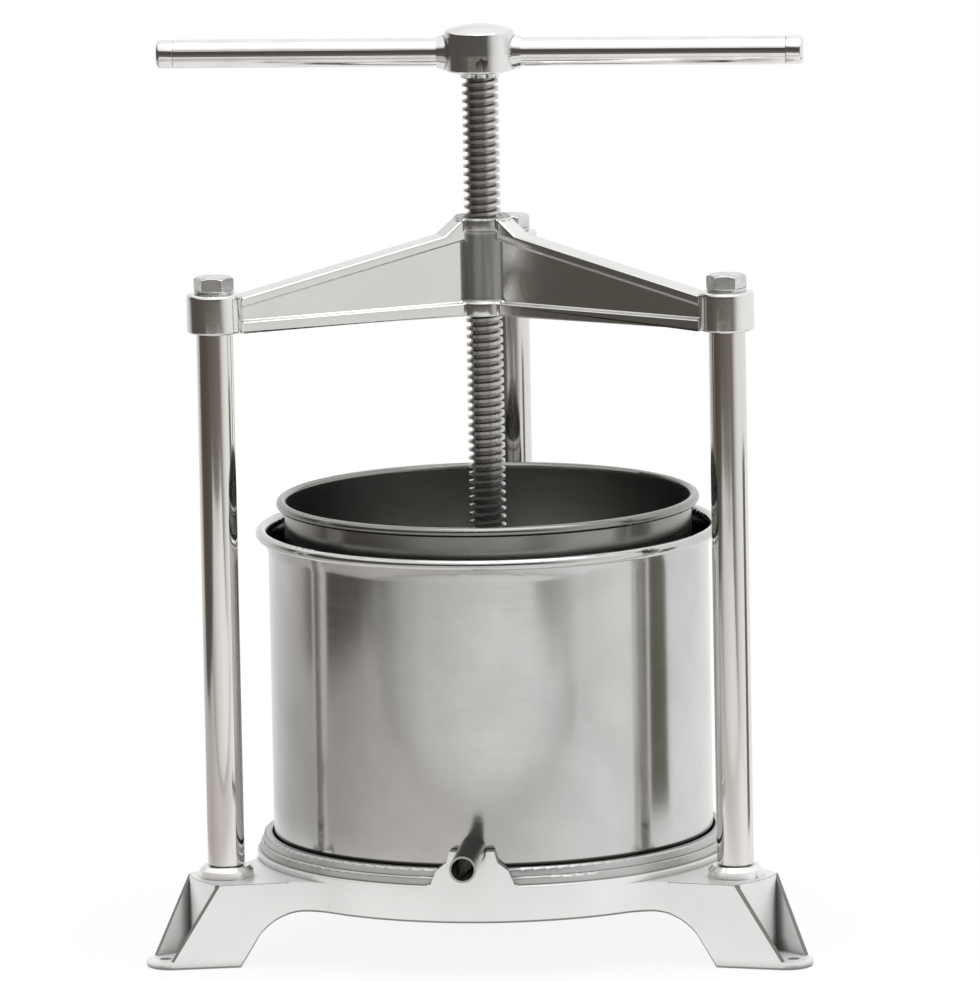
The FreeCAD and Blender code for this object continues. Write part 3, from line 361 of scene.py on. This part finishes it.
def round_edges(shape, width, clamp=True, chosen=None):
    """Join flat facets, then round the sharp edges a little, as a casting or a turned part has them.
    chosen(edge) picks the edges where only some are meant."""
    bmesh.ops.dissolve_limit(shape, angle_limit=FLAT_ANGLE, verts=shape.verts, edges=shape.edges)
    sharp = [edge for edge in shape.edges
             if len(edge.link_faces) == 2 and edge.calc_face_angle() > SHARP_ANGLE]
    if chosen:
        sharp = [edge for edge in sharp if chosen(edge)]
    bmesh.ops.bevel(shape, geom=sharp, offset=width, offset_type="OFFSET", segments=2, profile=0.5,
                    affect="EDGES", clamp_overlap=clamp)


def even_shading(piece):
    """Let the large faces rule the shading, so that flats stay flat beside small roundings."""
    weighted = piece.modifiers.new("even_shading", "WEIGHTED_NORMAL")
    weighted.keep_sharp = True


def record_of(node):
    """The body a node moves with, and its material slot."""
    record = frame["record"]
    body = [name for name, members in record["behaviour"]["bodies"].items() if node in members]
    slot = [part["material_slot"] for part in record["subparts"] if part["node"] == node]
    return body[0], slot[0]


def dress(node, material, suffix, rounding=0.0, clamp=True, reshape=None):
    """Replace a node by its own shape, smoothly shaded, in a finish."""
    shape = merged_copy(node)
    if reshape:
        shape = reshape(shape)
    if rounding:
        round_edges(shape, rounding, clamp)
    even_shading(finish_piece(shape, node + suffix, material, *record_of(node), (node,)))


HOLE_RADIUS = 1.6 * MM
HOLE_CORNERS = 8
SHEET_THICKNESS = 1.0 * MM


def everything(shape):
    """All of a bmesh's corners, edges and faces."""
    return shape.verts[:] + shape.edges[:] + shape.faces[:]


def tile(shape, across, up, middle, place):
    """One tile of perforated sheet, with its hole in the middle of its height and at middle along its
    width. place(u, v) puts a point of the flat tile on the sheet."""
    border = [(0.0, 0.0), (across, 0.0), (across, up), (0.0, up)]
    turns = [2 * math.pi * index / HOLE_CORNERS for index in range(HOLE_CORNERS)]
    hole = [(middle + HOLE_RADIUS * math.cos(turn), up / 2 + HOLE_RADIUS * math.sin(turn))
            for turn in turns]
    edges = []
    for loop in (border, hole):
        verts = [shape.verts.new(place(u, v)) for u, v in loop]
        edges += [shape.edges.new((verts[index - 1], verts[index])) for index in range(len(verts))]
    bmesh.ops.triangle_fill(shape, edges=edges, use_beauty=True)


def spread(shape, parts, count):
    """Repeat parts round the axis."""
    bmesh.ops.spin(shape, geom=parts, cent=(0, 0, 0), axis=(0, 0, 1), use_duplicate=True,
                   angle=2 * math.pi * (count - 1) / count, steps=count - 1)


def perforated(shape, name, node, thickness):
    """Join the tiles, finish the piece, and give the sheet its thickness."""
    bmesh.ops.remove_doubles(shape, verts=shape.verts, dist=0.01 * MM)
    bmesh.ops.recalc_face_normals(shape, faces=shape.faces)
    piece = finish_piece(shape, name, BASKET_STEEL, *record_of(node))
    solid = piece.modifiers.new("sheet", "SOLIDIFY")
    solid.thickness = thickness
    solid.offset = -1.0
    return piece


def basket_wall():
    """The basket's wall: plain ends from the drawn part, and staggered rows of holes between."""
    low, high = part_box("basket")
    radius = (high.x - low.x) / 2
    holes, rows, rise, start = 64, 12, 9.0 * MM, 66.0 * MM
    end = start + rows * rise
    across = 2 * math.pi * radius / holes
    ends = merged_copy("basket")
    for height in (start, end):
        bmesh.ops.bisect_plane(ends, geom=everything(ends), plane_co=(0, 0, height),
                               plane_no=(0, 0, 1))
    gone = [face for face in ends.faces if start < face.calc_center_median().z < end]
    bmesh.ops.delete(ends, geom=gone, context="FACES")
    even_shading(finish_piece(ends, "basket_plain_ends", BASKET_STEEL, *record_of("basket"), ("basket",)))
    sheet = bmesh.new()
    for row, middle in ((0, 0.25), (1, 0.75)):
        tile(sheet, across, rise, across * middle,
             lambda u, v: (radius * math.cos(u / radius), radius * math.sin(u / radius),
                           start + row * rise + v))
    spread(sheet, everything(sheet), holes)
    pair = everything(sheet)
    for index in range(1, rows // 2):
        copy = bmesh.ops.duplicate(sheet, geom=pair)["geom"]
        bmesh.ops.translate(sheet, vec=(0, 0, 2 * rise * index),
                            verts=[part for part in copy if isinstance(part, bmesh.types.BMVert)])
    perforated(sheet, "basket_perforated_wall", "basket", SHEET_THICKNESS)


def basket_floor():
    """The basket's floor: rings of holes from the centre outwards."""
    low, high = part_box("basket_floor")
    radius = (high.x - low.x) / 2
    rings, step = 10, 9.0 * MM
    sheet = bmesh.new()
    bmesh.ops.create_circle(sheet, cap_ends=True, radius=step / 2, segments=24,
                            matrix=Matrix.Translation((0, 0, high.z)))
    for ring in range(1, rings + 1):
        count = 6 * ring
        outer = step * (ring + 0.5) if ring < rings else radius
        inner = step * (ring - 0.5)
        span = 2 * math.pi / count
        middle = (inner + outer) / 2
        before = set(everything(sheet))
        tile(sheet, span * middle, outer - inner, span * middle / 2,
             lambda u, v: ((inner + v) * math.cos(u / middle), (inner + v) * math.sin(u / middle), high.z))
        spread(sheet, [part for part in everything(sheet) if part not in before], count)
    piece = perforated(sheet, "basket_perforated_floor", "basket_floor", high.z - low.z)
    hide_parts("basket_floor")


TURNED_STEPS = 96


def add_turned(shape, profile):
    """Add a turned solid, given by its profile from the axis outwards and back."""
    chain = [shape.verts.new((radius, 0.0, z)) for radius, z in profile]
    edges = [shape.edges.new(pair) for pair in zip(chain, chain[1:])]
    bmesh.ops.spin(shape, geom=chain + edges, cent=(0, 0, 0), axis=(0, 0, 1),
                   angle=2 * math.pi, steps=TURNED_STEPS, use_merge=True)
    reached = {face for vert in chain if vert.is_valid for face in vert.link_faces}
    waiting = list(reached)
    while waiting:
        for side in waiting.pop().edges:
            for other in side.link_faces:
                if other not in reached:
                    reached.add(other)
                    waiting.append(other)
    corners = {vert for face in reached for vert in face.verts}
    bmesh.ops.remove_doubles(shape, verts=list(corners), dist=0.001 * MM)
    bmesh.ops.recalc_face_normals(shape, faces=[face for face in reached if face.is_valid])


def thread():
    """Trapezoidal thread 18 x 4, right-hand, one profile spun up the spindle. Below it are the neck
    and the button that runs in the plate's socket, and above it the stub in the handle's hub."""
    low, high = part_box("screw")
    pitch = 4.0 * MM
    crest, root = 9.0 * MM, 6.75 * MM
    crest_share = 0.366
    flank_angle = math.radians(15)
    button, button_height, chamfer, neck, stub = 8.0 * MM, 7.0 * MM, 0.5 * MM, 5.0 * MM, 7.0 * MM
    lap = 0.5 * MM
    start = 164.08 * MM
    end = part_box("handle_hub")[0].z
    steps = 40
    turns = int((end - start) / pitch) + 3
    flank = (crest - root) * math.tan(flank_angle)
    crest_width = crest_share * pitch
    root_width = pitch - crest_width - 2 * flank
    shape = bmesh.new()
    z = start - 2 * pitch
    chain = []
    for radius, rise in ((root, 0.0), (root, root_width), (crest, root_width + flank),
                         (crest, root_width + flank + crest_width), (root, pitch)):
        chain.append(shape.verts.new((radius, 0.0, z + rise)))
    for first, second in zip(chain, chain[1:]):
        shape.edges.new((first, second))
    bmesh.ops.spin(shape, geom=shape.verts[:] + shape.edges[:], cent=(0, 0, 0), axis=(0, 0, 1),
                   dvec=(0, 0, pitch / steps), angle=2 * math.pi * turns, steps=steps * turns,
                   use_merge=False)
    bmesh.ops.remove_doubles(shape, verts=shape.verts, dist=0.005 * MM)
    for height, up in ((start, -1), (end, 1)):
        cut = bmesh.ops.bisect_plane(shape, geom=everything(shape), plane_co=(0, 0, height),
                                     plane_no=(0, 0, up), clear_outer=True)
        rim = [part for part in cut["geom_cut"] if isinstance(part, bmesh.types.BMEdge)]
        bmesh.ops.triangle_fill(shape, edges=rim, use_beauty=True)
    bmesh.ops.recalc_face_normals(shape, faces=shape.faces)
    add_turned(shape, [(0.0, low.z), (button - chamfer, low.z), (button, low.z + chamfer),
                       (button, low.z + button_height), (neck, low.z + button_height),
                       (neck, start + lap), (0.0, start + lap)])
    add_turned(shape, [(0.0, end - lap), (stub, end - lap), (stub, high.z), (0.0, high.z)])
    finish_piece(shape, "spindle_thread", THREAD, "spindle", "screw_steel", ("screw",), 25.0)


LEG_TURNS = (90, 210, 330)
LEG_TOP = 41.5 * MM
ARCH_FOOT = 146.0 * MM
ARCH_RADIUS = 28.0 * MM
DRAWN_ARCH = (24.0 * MM, math.radians(53.5))
SEEN_ARCH = (26.6 * MM, math.radians(60.0))


def arch(reach, bottom, slope):
    """Height of the opening below the ring and a leg, at a reach from the axis along the leg. Bottom is
    the height of the ring's lower edge, and slope the angle at which the arch comes down."""
    corner = ARCH_FOOT - bottom / math.tan(slope)
    tangent = ARCH_RADIUS * math.tan(slope / 2)
    if reach < corner - tangent:
        return bottom
    if reach < corner + tangent * math.cos(slope):
        return bottom - ARCH_RADIUS + math.sqrt(ARCH_RADIUS ** 2 - (reach - corner + tangent) ** 2)
    return max((ARCH_FOOT - reach) * math.tan(slope), 0.0)


def leg_reach(place):
    """How far out a place lies along the leg that it is nearest to."""
    return max(place.xy.dot(Vector((math.cos(turn), math.sin(turn))))
               for turn in map(math.radians, LEG_TURNS))


def difference(shape, cutter):
    """The shape less the cutter, both given as bmeshes."""
    made = [mesh_object("cut_shape", shape), mesh_object("cutter", cutter)]
    cut = made[0].modifiers.new("cut", "BOOLEAN")
    cut.operation = "DIFFERENCE"
    cut.solver = "EXACT"
    cut.object = made[1]
    graph = bpy.context.evaluated_depsgraph_get()
    result = bmesh.new()
    result.from_object(made[0], graph)
    for thing in made:
        mesh = thing.data
        bpy.data.objects.remove(thing)
        bpy.data.meshes.remove(mesh)
    bmesh.ops.remove_doubles(result, verts=result.verts, dist=0.004 * MM)
    return result


def looks_down(edge):
    """Whether an edge low down lies between an upright face and one that looks down."""
    limit = 30.0 * MM
    slopes = [face.normal.z for face in edge.link_faces]
    low = all(vert.co.z < limit for vert in edge.verts)
    return low and min(slopes) < -0.35 and any(abs(slope) < 0.1 for slope in slopes)


def borders_leg_top(edge):
    """Whether an edge outside the ring lies between a leg's top and an upright face."""
    outside = 122.0 * MM
    outer = all(abs(vert.co.z - LEG_TOP) < 0.1 * MM and leg_reach(vert.co) > outside
                for vert in edge.verts)
    return outer and any(abs(face.normal.z) < 0.1 for face in edge.link_faces)


def shaped_legs(shape):
    """The legs as the photograph shows them: they run into the ring by hollow blends, cut by six
    upright cylinders that touch the ring and a leg's side, and the arch below them is a little
    higher and steeper than in the solid."""
    ring, blend, half, taper, root = 116.5 * MM, 25.0 * MM, 33.0 * MM, 14.0 / 46.6, 109.0 * MM
    cutter_depth, cutter_middle, play = 60 * MM, 15 * MM, 0.02 * MM
    lower_rounding, top_rounding = 1.5 * MM, 0.6 * MM
    lean = math.atan(taper)
    offset = (half + taper * root + blend / math.cos(lean)) * math.cos(lean)
    along = offset * math.sin(lean) + math.sqrt((ring + blend) ** 2 - offset ** 2) * math.cos(lean)
    across = offset / math.cos(lean) - taper * along
    cutter = bmesh.new()
    for turn in LEG_TURNS:
        for side in (-1, 1):
            place = Matrix.Rotation(math.radians(turn - 90), 3, "Z") @ Vector((side * across, along, 0.0))
            place += Vector((0, 0, cutter_middle))
            bmesh.ops.create_cone(cutter, cap_ends=True, segments=96, radius1=blend - play,
                                  radius2=blend - play, depth=cutter_depth,
                                  matrix=Matrix.Translation(place))
    shape = difference(shape, cutter)
    for vert in shape.verts:
        reach = leg_reach(vert.co)
        before = arch(reach, *DRAWN_ARCH)
        if abs(vert.co.z - before) < 0.2 * MM and reach < ARCH_FOOT - 0.1 * MM:
            vert.co.z += arch(reach, *SEEN_ARCH) - before
    shape.normal_update()
    round_edges(shape, lower_rounding, clamp=False, chosen=looks_down)
    round_edges(shape, top_rounding, clamp=False, chosen=borders_leg_top)
    return shape


thread()
dress("base_casting", CASTING, "_finished", 0.5 * MM, reshape=shaped_legs)
dress("yoke", YOKE_CASTING, "_finished", 1.0 * MM, clamp=False)
for node in ("column_rear", "column_front_left", "column_front_right"):
    dress(node, CHROME, "_chromed")
for node in ("yoke_bolts", "yoke_washers", "base_bolts", "base_washers"):
    dress(node, PLATED, "_plated", 0.25 * MM)
for node in ("plate_socket", "plate_keeper", "plate_screws"):
    dress(node, PLATED, "_plated")
dress("hub_set_screw", DARK_STEEL, "_blackened")
for node in ("handle_bar_left", "handle_bar_right", "handle_end_left", "handle_end_right"):
    dress(node, HANDLE_CHROME, "_chromed")
dress("handle_hub", HUB_CASTING, "_polished")
dress("press_plate", PLATE, "_machined")
for node in ("bucket", "bucket_floor", "bucket_rim"):
    dress(node, BUCKET_STEEL, "_drawn")
dress("bucket_spout", SPOUT_STEEL, "_tube")
dress("basket_rim", BASKET_STEEL, "_drawn")
basket_wall()
basket_floor()


def at(degrees):
    """Place on a ramp for a direction round the press, 0 to the spout side and + to the right."""
    return 0.5 + degrees / 360.0


def studio_floor():
    """A white table. To the camera it is plain white, with a faint soft shadow near the press. In the
    metal it is a cloth as far as its dark hem in front, and beyond that a floor, dark at the left."""
    shape = bmesh.new()
    bmesh.ops.create_grid(shape, x_segments=1, y_segments=1, size=1.0)
    left, right, front, back = -0.86, 0.57, -1.5, 2.6
    for vert in shape.verts:
        vert.co.x = left if vert.co.x < 0 else right
        vert.co.y = front if vert.co.y < 0 else back
    table = mesh_object("table", shape)
    material, s = new_material("white_table")
    x, y = s.parts(s.place())[:2]
    distance = s.radius(x, y)
    seen = s.node("ShaderNodeLightPath", out="Is Camera Ray")
    shaded = s.node("ShaderNodeBsdfDiffuse", None, {"Color": (0.95, 0.95, 0.95)})
    plain = s.node("ShaderNodeEmission", None, {"Color": (1.0, 1.0, 1.0), "Strength": 1.0})
    white = distance.ramp(0.16, 0.3, 0.88, 1.0)
    near = s.node("ShaderNodeMixShader", None, {0: white, 1: shaded, 2: plain})
    around = s.turn(x, -y) / (2 * math.pi) + 0.5
    cloth = s.node("ShaderNodeValToRGB", {"stops": [
        (at(-180), (1.0, 1.0, 1.0)), (at(-145), (0.8, 0.8, 0.8)), (at(-115), (0.55, 0.54, 0.53)),
        (at(-76), (0.5, 0.47, 0.45)), (at(-40), (0.66, 0.61, 0.58)), (at(5), (0.7, 0.68, 0.67)),
        (at(35), (0.86, 0.86, 0.85)), (at(60), (1.0, 1.0, 1.0)), (at(180), (1.0, 1.0, 1.0))]},
        {0: around})
    beyond = s.node("ShaderNodeValToRGB", {"stops": [
        (at(-90), (0.3, 0.29, 0.27)), (at(-45), (0.46, 0.47, 0.45)), (at(-28), (0.74, 0.73, 0.71)),
        (at(8), (0.95, 0.95, 0.94)), (at(45), (0.92, 0.92, 0.92)), (at(60), (1.0, 1.0, 1.0))]},
        {0: around})
    cloth = s.mix(distance.ramp(0.3, 0.42), (0.95, 0.95, 0.94), cloth)
    edge = y.ramp(-0.55, -0.53)
    hem = y.ramp(-0.57, -0.545) * y.ramp(-0.515, -0.54)
    colour = s.mix(hem, s.mix(edge, beyond, cloth), (0.3, 0.29, 0.27))
    away = s.node("ShaderNodeEmission", None, {"Color": colour, "Strength": 1.0})
    surface = s.node("ShaderNodeMixShader", None, {0: seen, 1: away, 2: near})
    s.node("ShaderNodeOutputMaterial", None, {"Surface": surface})
    table.data.materials.append(material)


def studio_world():
    """White to the camera. In the metal: a pale back, a bright right side, and a dim room at the left
    and in front, under a bright ceiling."""
    world = bpy.data.worlds.new("studio")
    bpy.context.scene.world = world
    world.use_nodes = True
    s = Shader(world.node_tree)
    x, y, z = s.parts(s.node("ShaderNodeTexCoord", out="Generated"))
    turn = s.turn(x, -y) * (180 / math.pi)
    rise = s.node("ShaderNodeMath", {"operation": "ARCSINE"}, {0: z}) * (180 / math.pi)
    around = turn / 360.0 + 0.5
    low = s.node("ShaderNodeValToRGB", {"stops": [
        (at(-180), (1.0, 1.0, 1.0)), (at(-135), (0.8, 0.8, 0.8)), (at(-112), (0.5, 0.47, 0.44)),
        (at(-102), (0.11, 0.09, 0.08)), (at(-70), (0.09, 0.08, 0.07)), (at(-20), (0.14, 0.12, 0.1)),
        (at(30), (0.2, 0.18, 0.16)), (at(52), (0.8, 0.8, 0.79)), (at(75), (0.95, 0.95, 0.94)),
        (at(120), (0.95, 0.95, 0.95)), (at(180), (1.0, 1.0, 1.0))]}, {0: around})
    room = s.node("ShaderNodeValToRGB", {"stops": [
        (at(-180), (1.0, 1.0, 1.0)), (at(-135), (0.75, 0.75, 0.75)), (at(-110), (0.1, 0.09, 0.08)),
        (at(29), (0.07, 0.07, 0.07)), (at(50), (0.7, 0.7, 0.7)), (at(75), (0.95, 0.95, 0.95)),
        (at(180), (1.0, 1.0, 1.0))]}, {0: around})
    colour = s.mix(rise.ramp(-7.0, 4.0), low, room)
    colour = s.mix(rise.ramp(24.0, 40.0), colour, (1.1, 1.1, 1.1))
    seen = s.node("ShaderNodeLightPath", out="Is Camera Ray")
    glossy = s.node("ShaderNodeLightPath", out="Is Glossy Ray")
    plain = s.mix(seen, (0.95, 0.95, 0.95), (1.0, 1.0, 1.0))
    final = s.mix(glossy, plain, colour)
    background = s.node("ShaderNodeBackground", None, {"Color": final, "Strength": 1.0})
    s.node("ShaderNodeOutputWorld", None, {"Surface": background})


def dark_flag():
    """A dark upright card at the right, out of view, for the dark line in the metal there."""
    shape = bmesh.new()
    bmesh.ops.create_grid(shape, x_segments=1, y_segments=1, size=0.5,
                          matrix=Matrix.Rotation(math.pi / 2, 4, "Y"))
    distance, front, back, top = 0.46, -0.055, 0.085, 0.2
    for vert in shape.verts:
        vert.co.x = distance
        vert.co.y = front if vert.co.y < 0 else back
        vert.co.z = 0.0 if vert.co.z < 0 else top
    flag = mesh_object("flag", shape)
    material, s = new_material("flag_cloth")
    glow = s.node("ShaderNodeEmission", None, {"Color": (0.16, 0.155, 0.12), "Strength": 1.0})
    s.node("ShaderNodeOutputMaterial", None, {"Surface": glow})
    flag.data.materials.append(material)
    flag.visible_camera = False
    flag.visible_diffuse = False
    flag.visible_shadow = False


def lamp(name, place, aim, size, power):
    """A square lamp that shines towards a point."""
    light = bpy.data.lights.new(name, "AREA")
    light.shape = "SQUARE"
    light.size = size
    light.energy = power
    thing = linked(name, light)
    thing.location = place
    thing.rotation_mode = "QUATERNION"
    thing.rotation_quaternion = (Vector(aim) - Vector(place)).to_track_quat("-Z", "Y")


def photo_camera():
    """The camera fitted to the photograph's rims, columns and feet."""
    sensor = 36.0
    photo_side_px = 981.0
    focal_px = 12810.9
    turn = math.radians(5.482)
    yaw = math.radians(-0.011)
    pitch = math.radians(9.095)
    roll = math.radians(-1.0765)
    distance = 6.2
    height = 1.2127
    heading = turn + yaw
    forward = Vector((-math.sin(heading) * math.cos(pitch), math.cos(heading) * math.cos(pitch),
                      -math.sin(pitch)))
    level = forward.cross(Vector((0, 0, 1))).normalized()
    upright = level.cross(forward)
    right = math.cos(roll) * level + math.sin(roll) * upright
    up = -math.sin(roll) * level + math.cos(roll) * upright
    data = bpy.data.cameras.new("photo_camera")
    data.sensor_width = sensor
    data.lens = focal_px * sensor / photo_side_px
    data.clip_start = 0.1
    data.clip_end = 60.0
    camera = linked("photo_camera", data)
    turned = Matrix((right, up, -forward)).transposed()
    camera.matrix_world = Matrix.Translation((distance * math.sin(turn), -distance * math.cos(turn),
                                              height)) @ turned.to_4x4()
    bpy.context.scene.camera = camera


photo_camera()
studio_floor()
studio_world()
dark_flag()
lamp("top_light", place=(0.2, -0.3, 1.6), aim=(0.0, 0.0, 0.2), size=1.2, power=6.0)
bpy.context.scene.view_settings.view_transform = "Standard"
